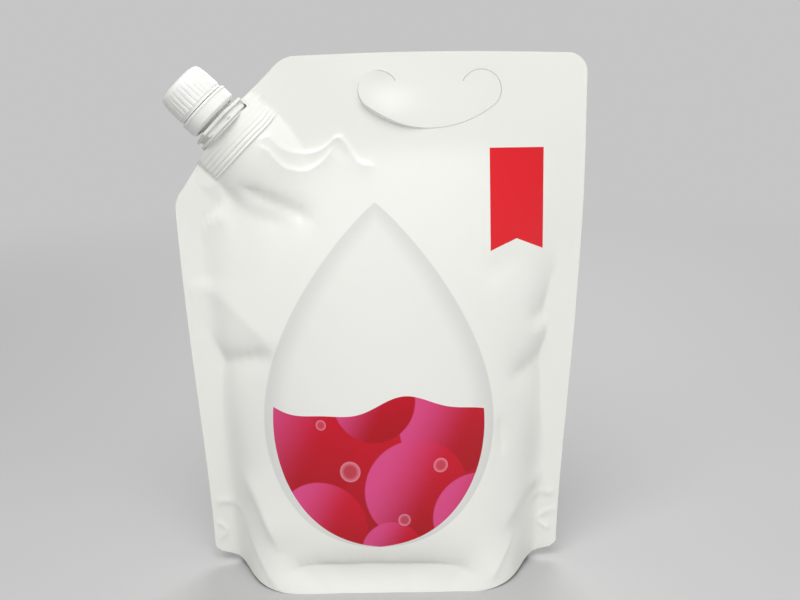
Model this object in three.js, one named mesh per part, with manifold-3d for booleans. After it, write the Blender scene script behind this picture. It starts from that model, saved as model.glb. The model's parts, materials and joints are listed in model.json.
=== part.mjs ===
// A filled stand-up pouch for liquid detergent: a film bag with a gusset under it, a pouring spout welded
// into its cut corner, a screw cap with a tamper band, and a die-cut carrying handle.
// Millimetres, +Z up. The front faces -Y and the origin is on the floor under the middle of the bag.
import * as THREE from "three";
import { mergeVertices } from "three/addons/utils/BufferGeometryUtils.js";
import Module from "manifold-3d";

const wasm = await Module();
wasm.setup();

// Running gap between pieces that touch
const gap = 0.3;

// Bag, laid flat and then filled
const flatWidth = 199.4; // over both side welds before filling
const bagHeight = 260;
const baseDepth = 76; // front to back on the floor
const sideWeld = 8;
const film = 0.3; // one side of the bag
const flatTop = 46; // the bag is flat this far down from its top edge
const fillPower = 1.5; // how late the bag thins towards the top
const cornerRadius = 9;

// Gusset and its weld
const cornerLift = 8; // the side welds end this far above the floor
const flatHalf = 42; // the bag stands on the floor this far to each side
const weldHeight = 14;
const weldRise = 20; // the weld climbs this much more at the sides
const weldArcWidth = 28;
const weldDent = 2.5;
const weldDentHalf = 5;
const skirtGroove = 9;
const gussetRise = 26;
const gussetRiseWidth = 32;
const squareHeight = 25; // the plan is squarer than a lens below about this height

// Creases of the filled film. Each runs straight between two places, given as shares of the contents' half
// width and of their height, and stands up or sinks in by its rise over its reach to each side.
const frontCreases = [
  { from: [-0.82, 0.94], to: [-0.4, 0.87], rise: -3.6, reach: 8 }, // under the spout
  { from: [-0.94, 0.69], to: [-0.6, 0.56], rise: 2.6, reach: 9 },
  { from: [-0.98, 0.55], to: [-0.56, 0.53], rise: -3, reach: 8 },
  { from: [0.97, 0.72], to: [0.74, 0.58], rise: -3, reach: 8 },
  { from: [0.98, 0.56], to: [0.7, 0.5], rise: -2.6, reach: 7 },
  { from: [-0.8, 0.25], to: [-0.6, 0.1], rise: 2.4, reach: 9 },
  { from: [0.86, 0.24], to: [0.66, 0.13], rise: -2.6, reach: 7 },
];
const backCreases = [
  { from: [-0.82, 0.94], to: [-0.48, 0.87], rise: -3.2, reach: 8 },
  { from: [-0.95, 0.72], to: [-0.54, 0.6], rise: 2.2, reach: 9 },
  { from: [-0.95, 0.5], to: [-0.58, 0.47], rise: -2.8, reach: 8 },
  { from: [0.96, 0.59], to: [0.7, 0.46], rise: -3, reach: 8 },
  { from: [-0.78, 0.24], to: [-0.56, 0.1], rise: 2.2, reach: 9 },
  { from: [0.82, 0.26], to: [0.6, 0.11], rise: 2.2, reach: 9 },
];
const creaseRoom = 8; // creases fade out where half of the bag is thinner than this
const creaseFoot = 20; // and over this height above the lower edge

// Cut corner and spout seat
const spoutInset = 27.05; // from the side edge in to where the spout's axis crosses the edge of the film
const spoutDrop = 34.25; // and down from the top edge
const spoutLean = 45; // degrees from upright, towards -X
const seatInset = 9; // the film's straight seat ends this far in from the lower tip of the weld base
const cutLength = 38.4; // from the spout's axis down along the cut corner to its lower end
const lowerCutBack = 5.5; // the cut falls back this much at its lower end
const shoulderRise = 4.2; // the film beyond the spout stands this much past its seat
const shoulderRound = 1.5;
const topRound = 8; // where the cut corner meets the top edge
const channelLength = 46; // the film stands off in a channel from the spout into the contents
const channelHalf = 28;
const channelDrift = 14; // its middle turns this far down into the bag

// Carrying handle, a C-shaped slit with a hooked round end on each side
const handleX = 25;
const handleDrop = 18; // middle of its round ends below the top edge
const handleHalf = 24.5;
const handleEnd = 9.6;
const handleSag = 9.6;
const handleHookStart = 30; // degrees round its left end from +X, where the slit starts
const handleHookEnd = 155; // and the same for its right end, where it stops
const slitWidth = 0.5;

// Weld base of the spout, a boat with ribs that the film is welded round
const boatHalf = 22.3;
const boatDepth = 8.4; // half of its thickness
const boatHeight = 13.6;
const boatRib = 0.6;
const boatRibCount = 5;
const boatRibWidth = 1.1;

// Spout above the weld base
const bore = 14.4;
const neckOuter = 18.8;
const seatPlateHalf = 15.2;
const seatPlateDepth = 12.4;
const seatPlateThick = 1.4;
const collarDiameter = 24;
const collarHeight = 2.2;
const gripAcross = 30.4; // hexagon flange, corner to corner
const gripThick = 1.5;
const retainerDiameter = 21.6; // bead that keeps the tamper band on the neck
const retainerHeight = 1.6;
const retainerLift = 1.6; // above the foot of the band
const threadPitch = 3;
const threadTurns = 1.5;
const threadDepth = 1;
const threadWidth = 1.5;
const threadDrop = 6.5; // its middle below the mouth of the spout

// Cap and band
const bandHeight = 7.4;
const bandDiameter = 27;
const bandBead = 0.4;
const bandFoot = 1.2;
const bandLift = 1.8; // the band starts this far above the grip flange
const bandGap = 0.6; // broken by thin bridges
const bridgeCount = 8;
const bridgeWidth = 1;
const capHeight = 16;
const capDiameter = 25.2;
const capDraft = 0.5; // smaller in radius at the top edge
const capEdge = 2; // rounding of the top edge
const capDome = 0.7;
const capWall = 1.5;
const capRibCount = 30;
const capRibSize = 0.55;
const linerThick = 1;

const contentsTop = bagHeight - flatTop;
const handleZ = bagHeight - handleDrop;
const spoutX = spoutInset - flatWidth / 2;
const spoutZ = bagHeight - spoutDrop;

// Places along the spout's axis, from the edge of the film outwards
const seatTop = gap + seatPlateThick;
const gripBottom = seatTop + collarHeight;
const gripTop = gripBottom + gripThick;
const bandBottom = gripTop + bandLift;
const bandTop = bandBottom + bandHeight;
const capBottom = bandTop + bandGap;
const capTop = capBottom + capHeight;
const linerTop = capTop - capWall - capDome - gap;
const mouth = linerTop - linerThick - gap;
const retainerBottom = bandBottom + retainerLift;
const boreRadius = bore / 2;
const neckRadius = neckOuter / 2;
const capInner = capDiameter / 2 - capWall;
const threadMiddle = mouth - threadDrop;

const filmWhite = new THREE.MeshStandardMaterial({ color: 0xf2f2f3, roughness: 0.32, metalness: 0 });
const spoutPlastic = new THREE.MeshStandardMaterial({ color: 0xe9e9ea, roughness: 0.42, metalness: 0 });
const capPlastic = new THREE.MeshStandardMaterial({ color: 0xf4f4f4, roughness: 0.38, metalness: 0 });
const linerFoam = new THREE.MeshStandardMaterial({ color: 0xdedfe0, roughness: 0.7, metalness: 0 });

// A closed three.js geometry as a solid, with its doubled corners merged.
function solid(geometry) {
  const bare = geometry.index ? geometry.toNonIndexed() : geometry.clone();
  bare.deleteAttribute("normal");
  bare.deleteAttribute("uv");
  const merged = mergeVertices(bare, 1e-4);
  const index = merged.index.array;
  const kept = [];
  for (let i = 0; i < index.length; i += 3) {
    const [a, b, c] = [index[i], index[i + 1], index[i + 2]];
    if (a !== b && b !== c && c !== a) kept.push(a, b, c);
  }
  return new wasm.Manifold(
    new wasm.Mesh({
      numProp: 3,
      vertProperties: merged.attributes.position.array,
      triVerts: new Uint32Array(kept),
    }),
  );
}

// Loose triangles, nine numbers each, as a geometry.
function skin(positions) {
  const geometry = new THREE.BufferGeometry();
  return geometry.setAttribute("position", new THREE.Float32BufferAttribute(positions, 3));
}

const union = (parts) => parts.reduce((whole, part) => whole.add(part));

// A solid as a named mesh with flat shading.
function meshOf(name, body, material) {
  const { vertProperties, triVerts } = body.getMesh();
  const geometry = new THREE.BufferGeometry();
  geometry.setAttribute("position", new THREE.BufferAttribute(vertProperties, 3));
  geometry.setIndex(new THREE.BufferAttribute(triVerts, 1));
  const flat = geometry.toNonIndexed();
  flat.computeVertexNormals();
  const mesh = new THREE.Mesh(flat, material);
  mesh.name = name;
  return mesh;
}

// A ring or disc turned about Z from pairs of radius and height that run upwards on the outside.
function turned(pairs, segments = 40) {
  const profile = pairs.map(([radius, height]) => new THREE.Vector2(radius, height));
  profile.push(profile[0].clone());
  return solid(new THREE.LatheGeometry(profile, segments).rotateX(Math.PI / 2));
}

// A flat outline in X and Y pushed up from z0 to z1.
function pushed(shape, z0, z1, curveSegments = 12) {
  const geometry = new THREE.ExtrudeGeometry(shape, { depth: z1 - z0, bevelEnabled: false, curveSegments });
  return solid(geometry.translate(0, 0, z0));
}

// An outline in X and Z, thick in Y about the bag's middle plane.
function standing(shape, thickness, curveSegments = 12) {
  const geometry = new THREE.ExtrudeGeometry(shape, { depth: thickness, bevelEnabled: false, curveSegments });
  return solid(geometry.rotateX(Math.PI / 2).translate(0, thickness / 2, 0));
}

// The spout's own frame: its Z runs out along the axis and its X up along the cut corner.
const spoutFrame = new THREE.Matrix4()
  .makeRotationY(THREE.MathUtils.degToRad(-spoutLean))
  .setPosition(spoutX, 0, spoutZ);

const inPouchFrame = (body) => body.transform(spoutFrame.elements);

const share = (value) => Math.min(1, Math.max(0, value));

// Half of the bag's depth on its middle line: full at the floor, nothing at the top of the contents.
const halfDepth = (z) => (baseDepth / 2) * (1 - share(z / contentsTop) ** fillPower);

// The film doesn't stretch, so each side draws in by the arc's extra length where the bag is deep.
const flatReach = flatWidth / 2 - sideWeld;
const contentsHalf = (z) => flatReach - (2 * halfDepth(z) ** 2) / (3 * flatReach);

// The weld of the gusset runs level across the middle and climbs in a quarter ellipse to each side.
function weldLine(x) {
  const inwards = share((flatReach - Math.abs(x)) / weldArcWidth);
  return weldHeight + weldRise * Math.sqrt(1 - inwards ** 2);
}

// Half depth of the channel behind the spout: as deep as the weld base, then sinking into the contents.
function channelDepth(x, z) {
  const lean = THREE.MathUtils.degToRad(spoutLean);
  const w = (x - spoutX) * Math.cos(lean) + (z - spoutZ) * Math.sin(lean);
  const t = (z - spoutZ) * Math.cos(lean) - (x - spoutX) * Math.sin(lean);
  const run = share((-boatHeight - t) / channelLength);
  const ease = run * run * (3 - 2 * run);
  const half = boatHalf + (channelHalf - boatHalf) * ease;
  const oval = Math.max(0, 1 - ((w + channelDrift * ease) / half) ** 2);
  return (boatDepth - boatRib) * oval * (1 - run ** 2);
}

// Height of the bag's lower edge, lifted towards the corners.
function lowerEdge(x) {
  const beyond = share((Math.abs(x) - flatHalf) / (flatReach - flatHalf));
  return cornerLift * beyond ** 2;
}

// How far the creases lift the film at a point, each falling off as a bell curve away from its line.
function creaseHeight(x, z, creases) {
  const place = ([across, up]) => new THREE.Vector3(across * flatReach, up * contentsTop, 0);
  const here = new THREE.Vector3(x, z, 0);
  const nearest = new THREE.Vector3();
  const heights = creases.map(({ from, to, rise, reach }) => {
    new THREE.Line3(place(from), place(to)).closestPointToPoint(here, true, nearest);
    return rise * Math.exp(-((here.distanceTo(nearest) / reach) ** 2));
  });
  return heights.reduce((total, height) => total + height, 0);
}

// Half depth of the film surface at a point: a lens across the bag, squarer near the floor, with the weld's
// dent low down, the channel to the spout high up and the creases of the front or the back.
function panelDepth(x, z, creases) {
  const side = share(Math.abs(x) / contentsHalf(z));
  const square = Math.exp(-z / squareHeight);
  const lens = (1 - side ** (2 + 4 * square)) ** (1 + 0.4 * square);
  const dent = weldDent * Math.exp(-(((z - weldLine(x)) / weldDentHalf) ** 2));
  const depth = Math.hypot(Math.max(0, halfDepth(z) - dent) * lens, channelDepth(x, z));
  const fade = share(depth / creaseRoom) * share((z - lowerEdge(x)) / creaseFoot);
  return film + depth + creaseHeight(x, z, creases) * fade;
}

// Underside: flat on the floor, a groove behind the welded skirt, and a tent towards each side.
function underside(x, across) {
  const edge = Math.abs(across);
  const depth = panelDepth(x, lowerEdge(x), []);
  const room = share((depth - 1.5) / 6);
  const tent = gussetRise * share((Math.abs(x) - flatHalf) / gussetRiseWidth) ** 1.4;
  const groove = edge < 1 ? Math.max(0, 1 - ((edge - 0.92) / 0.085) ** 2) : 0;
  return lowerEdge(x) + room * (tent * (1 - edge ** 1.2) + skirtGroove * groove);
}

// The filled bag as one closed skin: front and back panels in rows, the strip over the top and the gusset.
function filledBag() {
  const columns = 32;
  const rows = 26; // up to the top of the contents
  const topRows = 4; // over the flat top
  const gussetRows = 12;
  const positions = [];
  const quad = (a, b, c, d) => positions.push(...a, ...b, ...c, ...a, ...c, ...d);

  // Column 0 and the last one are the outer edges of the side welds.
  const columnX = (i, z) => {
    if (i === 0) return -contentsHalf(z) - sideWeld;
    if (i === columns) return contentsHalf(z) + sideWeld;
    const t = (2 * (i - 1)) / (columns - 2) - 1;
    return contentsHalf(z) * (1.3 * t - 0.3 * t ** 3);
  };
  const allRows = rows + topRows;
  const rowZ = (j) => {
    if (j <= rows) return contentsTop * (j / rows) ** 1.7;
    return contentsTop + ((bagHeight - contentsTop) * (j - rows)) / topRows;
  };
  const panelPoint = (i, j, side) => {
    const level = rowZ(j);
    const x = columnX(i, level);
    const z = level + lowerEdge(x) * (1 - share(level / contentsTop));
    return [x, side * panelDepth(x, z, side < 0 ? frontCreases : backCreases), z];
  };
  const frontPoint = (i, j) => panelPoint(i, j, -1);
  const backPoint = (i, j) => panelPoint(i, j, 1);
  const gussetPoint = (i, k) => {
    const [x, y, z] = frontPoint(i, 0);
    const across = -Math.sin((Math.PI / 2) * ((2 * k) / gussetRows - 1));
    return k === 0 || k === gussetRows ? [x, y * across, z] : [x, y * across, underside(x, across)];
  };

  for (let i = 0; i < columns; i++) {
    for (let j = 0; j < allRows; j++) {
      quad(frontPoint(i, j), frontPoint(i + 1, j), frontPoint(i + 1, j + 1), frontPoint(i, j + 1));
      quad(backPoint(i + 1, j), backPoint(i, j), backPoint(i, j + 1), backPoint(i + 1, j + 1));
    }
    const rim = [frontPoint(i, allRows), frontPoint(i + 1, allRows)];
    quad(...rim, backPoint(i + 1, allRows), backPoint(i, allRows));
    for (let k = 0; k < gussetRows; k++)
      quad(gussetPoint(i + 1, k), gussetPoint(i, k), gussetPoint(i, k + 1), gussetPoint(i + 1, k + 1));
  }
  for (let j = 0; j < allRows; j++) {
    quad(backPoint(0, j), frontPoint(0, j), frontPoint(0, j + 1), backPoint(0, j + 1));
    quad(frontPoint(columns, j), backPoint(columns, j), backPoint(columns, j + 1), frontPoint(columns, j + 1));
  }
  for (const i of [0, columns]) {
    const rim = Array.from({ length: gussetRows + 1 }, (unused, k) => gussetPoint(i, k));
    for (let k = 1; k < gussetRows; k++)
      if (i === 0) positions.push(...rim[0], ...rim[k + 1], ...rim[k]);
      else positions.push(...rim[0], ...rim[k], ...rim[k + 1]);
  }
  return solid(skin(positions));
}

// Film outline in the plane of the bag, with the corner cut away for the spout and the top corner rounded.
function filmOutline() {
  const far = flatWidth; // well outside the side welds
  const lean = THREE.MathUtils.degToRad(spoutLean);
  const along = (w, t) => [
    spoutX + w * Math.cos(lean) - t * Math.sin(lean),
    spoutZ + w * Math.sin(lean) + t * Math.cos(lean),
  ];
  const rightEdge = contentsHalf(contentsTop) + sideWeld;
  const leftEdge = -rightEdge;
  const topReach = (bagHeight - spoutZ - shoulderRise * Math.cos(lean)) / Math.sin(lean);
  const shoulderStart = gripAcross / 2 + 3 * gap;
  const lowEnd = along(-cutLength, -lowerCutBack);
  const shape = new THREE.Shape();
  shape.moveTo(-far, -cornerLift);
  shape.lineTo(far, -cornerLift);
  shape.lineTo(far, bagHeight - cornerRadius);
  shape.lineTo(rightEdge, bagHeight - cornerRadius);
  shape.absarc(rightEdge - cornerRadius, bagHeight - cornerRadius, cornerRadius, 0, Math.PI / 2, false);
  const topCorner = along(topReach, shoulderRise);
  shape.lineTo(topCorner[0] + topRound / 4, bagHeight);
  shape.quadraticCurveTo(...topCorner, ...along(topReach - topRound, shoulderRise));
  shape.lineTo(...along(shoulderStart + shoulderRound, shoulderRise));
  const shoulderFoot = along(shoulderStart, shoulderRise - shoulderRound);
  shape.quadraticCurveTo(...along(shoulderStart, shoulderRise), ...shoulderFoot);
  shape.lineTo(...along(shoulderStart, 0));
  shape.lineTo(...along(seatInset - boatHalf, 0));
  shape.lineTo(...lowEnd);
  shape.quadraticCurveTo(leftEdge, lowEnd[1] - cornerRadius / 2, leftEdge - gap, lowEnd[1] - cornerRadius);
  shape.lineTo(-far, lowEnd[1] - cornerRadius);
  shape.closePath();
  return shape;
}

// A pointed oval, longer along X, as an arc over the front and one over the back.
function pointedOval(half, depth) {
  const radius = (half ** 2 + depth ** 2) / (2 * depth);
  const turn = Math.asin(half / radius);
  const shape = new THREE.Shape();
  shape.absarc(0, depth - radius, radius, Math.PI / 2 - turn, Math.PI / 2 + turn, false);
  shape.absarc(0, radius - depth, radius, 1.5 * Math.PI - turn, 1.5 * Math.PI + turn, false);
  return shape;
}

// The weld base with its ribs, or what wraps it when grown all round.
function ribbedBoat(grow) {
  const inner = pointedOval(boatHalf - 1 + grow, boatDepth - boatRib + grow);
  const core = pushed(inner, boatRibWidth / 2 - boatHeight - grow, grow - boatRibWidth / 2, 6);
  const pitch = (boatHeight - boatRibWidth) / (boatRibCount - 1);
  const ribs = Array.from({ length: boatRibCount }, (unused, n) => {
    const low = -boatHeight + n * pitch;
    return pushed(pointedOval(boatHalf + grow, boatDepth + grow), low - grow, low + boatRibWidth + grow, 6);
  });
  return union([core, ...ribs]);
}

// The handle's slit: a shallow arc between two round ends, each hooked over towards the other.
function handleSlit() {
  const chord = handleHalf + handleEnd * Math.SQRT1_2;
  const radius = (chord ** 2 + handleSag ** 2) / (2 * handleSag);
  const drop = handleEnd * Math.SQRT1_2;
  const centreZ = handleZ - drop - handleSag + radius;
  const swing = Math.asin(chord / radius);
  const [hookStart, hookEnd] = [handleHookStart, handleHookEnd].map(THREE.MathUtils.degToRad);
  const path = new THREE.Path();
  path.absarc(handleX - handleHalf, handleZ, handleEnd, hookStart, 1.25 * Math.PI, false);
  path.absarc(handleX, centreZ, radius, 1.5 * Math.PI - swing, 1.5 * Math.PI + swing, false);
  path.absarc(handleX + handleHalf, handleZ, handleEnd, -0.25 * Math.PI, hookEnd, false);
  const line = path.getPoints(12).filter((p, n, all) => n === 0 || p.distanceTo(all[n - 1]) > 0.01);
  const side = (sign) =>
    line.map((p, n) => {
      const ahead = line[Math.min(n + 1, line.length - 1)];
      const behind = line[Math.max(n - 1, 0)];
      const out = ahead.clone().sub(behind).normalize().multiplyScalar((sign * slitWidth) / 2);
      return new THREE.Vector2(p.x - out.y, p.y + out.x);
    });
  const band = new THREE.Shape([...side(-1), ...side(1).reverse()]);
  return standing(band, 20 * film);
}

// Bag: filled film with a welded sleeve round the spout's base, trimmed to its outline, handle cut through.
function pouch() {
  const wrapped = inPouchFrame(ribbedBoat(gap + film));
  const trimmed = union([filledBag(), wrapped]).intersect(standing(filmOutline(), 2 * baseDepth));
  return trimmed.subtract(inPouchFrame(ribbedBoat(gap))).subtract(handleSlit());
}

// A right-hand thread as a helical ridge of trapezium section, standing out or in by its depth.
function threadRidge(rootRadius, depth, middle, phase) {
  const perTurn = 20;
  const steps = Math.round(threadTurns * perTurn);
  const overlap = Math.sign(depth) * 0.4;
  const section = [
    [-overlap, -threadWidth / 2],
    [depth, -threadWidth / 5],
    [depth, threadWidth / 5],
    [-overlap, threadWidth / 2],
  ];
  if (depth < 0) section.reverse();
  const ring = (n) => {
    const turn = (n / perTurn) * 2 * Math.PI + phase;
    const fade = Math.min(1, n / 3 + 0.15, (steps - n) / 3 + 0.15);
    const height = middle + ((n - steps / 2) / perTurn) * threadPitch;
    return section.map(([out, up]) => {
      const radius = rootRadius + (out === depth ? depth * fade : out);
      return [radius * Math.cos(turn), radius * Math.sin(turn), height + up];
    });
  };
  const positions = [];
  for (let n = 0; n < steps; n++) {
    const [here, next] = [ring(n), ring(n + 1)];
    for (let k = 0; k < 4; k++) {
      const m = (k + 1) % 4;
      positions.push(...here[k], ...next[k], ...next[m], ...here[k], ...next[m], ...here[m]);
    }
  }
  const [first, last] = [ring(0), ring(steps)];
  positions.push(...first[0], ...first[1], ...first[2], ...first[0], ...first[2], ...first[3]);
  positions.push(...last[0], ...last[2], ...last[1], ...last[0], ...last[3], ...last[2]);
  return solid(skin(positions));
}

// Spout, one moulding: weld base, seat plate, collar, hexagon grip flange and threaded neck, bored through.
function spout() {
  const seat = new THREE.Shape();
  seat.absellipse(0, 0, seatPlateHalf, seatPlateDepth, 0, 2 * Math.PI, false);
  const hexagon = new THREE.Shape(
    Array.from({ length: 6 }, (unused, n) => {
      const turn = (n * Math.PI) / 3;
      return new THREE.Vector2((gripAcross / 2) * Math.cos(turn), (gripAcross / 2) * Math.sin(turn));
    }),
  );
  const stem = turned([
    [0, -boatRibWidth],
    [boatDepth - 1, -boatRibWidth],
    [boatDepth - 1, gap + seatPlateThick / 3],
    [collarDiameter / 2, gap + seatPlateThick / 3],
    [collarDiameter / 2, gripBottom + gripThick / 3],
    [neckRadius + 1, gripBottom + gripThick / 2],
    [neckRadius, gripTop + 1],
    [neckRadius, retainerBottom],
    [retainerDiameter / 2, retainerBottom + 0.2],
    [neckRadius, retainerBottom + retainerHeight],
    [neckRadius, mouth - 0.5],
    [neckRadius - 0.5, mouth],
    [0, mouth],
  ]);
  const [holeLow, holeHigh] = [-2 * boatHeight, 2 * mouth];
  const hole = turned([[0, holeLow], [boreRadius, holeLow], [boreRadius, holeHigh], [0, holeHigh]]);
  return union([
    ribbedBoat(0),
    pushed(pointedOval(seatPlateHalf - 1, boatDepth - 1), -boatRibWidth, gap + seatPlateThick / 2),
    pushed(seat, gap, seatTop, 24),
    pushed(hexagon, gripBottom, gripTop),
    stem,
    threadRidge(neckRadius, threadDepth, threadMiddle, 0),
  ]).subtract(hole);
}

// Tamper band: a ring with a bead at its top edge, a chamfered foot and the stubs of its bridges.
function tamperBand() {
  const outer = bandDiameter / 2;
  const inner = retainerDiameter / 2 + gap;
  const ring = turned([
    [inner + 0.4, bandBottom],
    [outer - bandFoot, bandBottom],
    [outer, bandBottom + bandFoot],
    [outer, bandTop - 1.2],
    [outer + bandBead, bandTop - 0.8],
    [outer, bandTop],
    [inner + 0.6, bandTop],
    [inner, retainerBottom + retainerHeight],
    [inner, retainerBottom - gap],
    [inner, bandBottom + 0.4],
  ]);
  const bridges = Array.from({ length: bridgeCount }, (unused, n) => {
    const stub = new THREE.BoxGeometry(bridgeWidth, 0.8, bandGap);
    stub.translate(0, inner + 1.2, bandTop + bandGap / 2 - gap);
    return solid(stub.rotateZ((2 * Math.PI * n) / bridgeCount));
  });
  return union([ring, ...bridges]);
}

// Screw cap: a hollow shell with a rounded, slightly domed top, ribs for grip and its own thread inside.
function screwCap() {
  const base = capDiameter / 2;
  const shoulder = base - capDraft;
  const rounding = Array.from({ length: 5 }, (unused, n) => {
    const turn = (n / 5) * (Math.PI / 2);
    const [radius, height] = [shoulder - capEdge, capTop - capDome - capEdge];
    return [radius + capEdge * Math.cos(turn), height + capEdge * Math.sin(turn)];
  });
  const shell = turned([
    [capInner + 0.3, capBottom],
    [base - 0.3, capBottom],
    [base, capBottom + 0.3],
    ...rounding,
    [shoulder - capEdge, capTop - capDome],
    [shoulder / 2, capTop - capDome / 4],
    [0, capTop],
    [0, linerTop + gap],
    [capInner - 0.6, linerTop + gap],
    [capInner - 0.3, mouth],
    [capInner, capBottom + 0.6],
  ], 48);
  const ribLow = capBottom + 1.6;
  const ribHigh = capTop - capDome - 0.8 * capEdge;
  const slope = Math.atan(capDraft / (ribHigh - ribLow));
  const ribs = Array.from({ length: capRibCount }, (unused, n) => {
    const rib = new THREE.CylinderGeometry(capRibSize, capRibSize, ribHigh - ribLow, 5);
    rib.rotateX(Math.PI / 2 + slope).translate(0, -(base - 0.5 * capDraft - 0.1), (ribLow + ribHigh) / 2);
    return solid(rib.rotateZ((2 * Math.PI * n) / capRibCount));
  });
  const thread = threadRidge(capInner, -threadDepth, threadMiddle - threadPitch / 2, 0);
  return union([shell, ...ribs, thread]);
}

// Sealing disc that the cap presses on the mouth of the spout.
function capLiner() {
  const radius = capInner - 1;
  const linerBottom = linerTop - linerThick;
  return turned([[0, linerBottom], [radius, linerBottom], [radius, linerTop], [0, linerTop]]);
}

const onSpout = new THREE.Group();
onSpout.applyMatrix4(spoutFrame);
onSpout.add(
  meshOf("spout", spout(), spoutPlastic),
  meshOf("tamper_band", tamperBand(), capPlastic),
  meshOf("screw_cap", screwCap(), capPlastic),
  meshOf("cap_liner", capLiner(), linerFoam),
);

const part = new THREE.Group();
part.name = "detergent_spout_pouch";
part.add(meshOf("pouch", pouch(), filmWhite), onSpout);

export default part;
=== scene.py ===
import json
import math

import bmesh
import bpy
import numpy as np
from mathutils import Matrix, Vector


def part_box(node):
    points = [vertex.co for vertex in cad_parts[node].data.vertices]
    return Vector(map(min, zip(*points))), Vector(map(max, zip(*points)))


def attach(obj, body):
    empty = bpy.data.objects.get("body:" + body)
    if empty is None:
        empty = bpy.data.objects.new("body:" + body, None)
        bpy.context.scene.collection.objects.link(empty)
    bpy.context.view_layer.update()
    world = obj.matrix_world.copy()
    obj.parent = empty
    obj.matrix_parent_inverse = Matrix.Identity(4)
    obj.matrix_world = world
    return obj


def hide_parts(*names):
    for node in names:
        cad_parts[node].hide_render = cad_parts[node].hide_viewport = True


# Frame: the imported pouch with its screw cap, in metres, +Z up, printed front towards -Y.
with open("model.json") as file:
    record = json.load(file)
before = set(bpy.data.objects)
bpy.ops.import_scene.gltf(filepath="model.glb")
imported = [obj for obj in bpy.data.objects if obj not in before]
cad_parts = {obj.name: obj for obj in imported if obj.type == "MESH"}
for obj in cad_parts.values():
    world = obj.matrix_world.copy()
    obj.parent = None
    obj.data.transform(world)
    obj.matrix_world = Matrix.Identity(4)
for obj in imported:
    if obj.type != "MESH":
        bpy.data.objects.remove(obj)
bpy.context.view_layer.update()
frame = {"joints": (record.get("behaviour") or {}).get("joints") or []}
mm = 0.001

# Camera: half a metre in front of the pouch at the height of its top edge, looking slightly down on it
# and turned a little about its own axis.
image_width = 800
focal_pixels = 1101
sensor_width = 36
camera_place = (9.4 * mm, -532 * mm, 267 * mm)
camera_down = math.radians(13.45)
camera_roll = math.radians(-0.87)

camera = bpy.data.objects.new("camera", bpy.data.cameras.new("camera"))
bpy.context.scene.collection.objects.link(camera)
camera.data.sensor_width = sensor_width
camera.data.lens = focal_pixels / image_width * sensor_width
camera.matrix_world = (
    Matrix.Translation(camera_place)
    @ Matrix.Rotation(math.pi / 2 - camera_down, 4, "X")
    @ Matrix.Rotation(camera_roll, 4, "Z")
)
bpy.context.scene.camera = camera
bpy.context.scene.view_settings.view_transform = "Standard"


class Value:
    """A number that changes over a surface, used in Python arithmetic. Every operator adds a Math node, and the
    reflected forms let a plain number stand on the left."""

    def __init__(self, finish, socket):
        self.finish = finish
        self.socket = socket

    def __add__(self, other):
        return self.finish.math("ADD", self, other)

    def __radd__(self, other):
        return self.finish.math("ADD", other, self)

    def __sub__(self, other):
        return self.finish.math("SUBTRACT", self, other)

    def __rsub__(self, other):
        return self.finish.math("SUBTRACT", other, self)

    def __mul__(self, other):
        return self.finish.math("MULTIPLY", self, other)

    def __rmul__(self, other):
        return self.finish.math("MULTIPLY", other, self)

    def __truediv__(self, other):
        return self.finish.math("DIVIDE", self, other)

    def __pow__(self, other):
        return self.finish.math("POWER", self, other)

    def __abs__(self):
        return self.finish.math("ABSOLUTE", self)


class Finish:
    """A procedural material: one Principled shader, and the nodes that feed it."""

    def __init__(self, name):
        self.material = bpy.data.materials.new(name)
        self.material.use_nodes = True
        self.tree = self.material.node_tree
        self.shader = self.tree.nodes["Principled BSDF"]

    def node(self, kind, settings, inputs, output=0):
        """A node of any kind: its settings are set first, then each input gets its value or its link."""
        made = self.tree.nodes.new(kind)
        for name, value in settings.items():
            setattr(made, name, value)
        for key, value in inputs.items():
            self.feed(made.inputs[key], value)
        return Value(self, made.outputs[output])

    def feed(self, socket, value):
        if isinstance(value, Value):
            self.tree.links.new(value.socket, socket)
        else:
            socket.default_value = value

    def math(self, operation, *terms):
        return self.node("ShaderNodeMath", {"operation": operation}, dict(enumerate(terms)))

    def place(self):
        """The three coordinates of a point on the object, in millimetres."""
        point = self.node("ShaderNodeTexCoord", {}, {}, "Object")
        return [self.node("ShaderNodeSeparateXYZ", {}, {0: point}, axis) * (1 / mm) for axis in range(3)]

    def noise(self, size, detail=2.0, roughness=0.5):
        """Even noise about 0.5, with spots of about the given size."""
        point = self.node("ShaderNodeTexCoord", {}, {}, "Object")
        sockets = {"Vector": point, "Scale": 1 / size, "Detail": detail, "Roughness": roughness}
        return self.node("ShaderNodeTexNoise", {}, sockets, 0)

    def inside(self, distance, blur=0.1):
        """1 where a distance in millimetres is above zero and 0 where it is below, with a thin blurred edge."""
        return self.node("ShaderNodeClamp", {}, {"Value": distance * (0.5 / blur) + 0.5})

    def ease(self, value, low, high):
        """0 below low, 1 above high and smooth between them."""
        sockets = {"Value": value, "From Min": low, "From Max": high}
        return self.node("ShaderNodeMapRange", {"interpolation_type": "SMOOTHSTEP"}, sockets)

    def mix(self, factor, low, high):
        """The first colour where the factor is 0 and the second where it is 1."""
        return self.node("ShaderNodeMix", {"data_type": "RGBA"}, {0: factor, 6: low, 7: high}, 2)

    def bump(self, height, distance, strength=1.0, under=None):
        sockets = {"Height": height, "Distance": distance, "Strength": strength}
        if under is not None:
            sockets["Normal"] = under
        return self.node("ShaderNodeBump", {}, sockets)

    def set(self, **values):
        """Sets or links the shader's own sockets; an underscore in a name stands for a space."""
        for name, value in values.items():
            self.feed(self.shader.inputs[name.replace("_", " ")], value)
        return self.material


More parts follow.
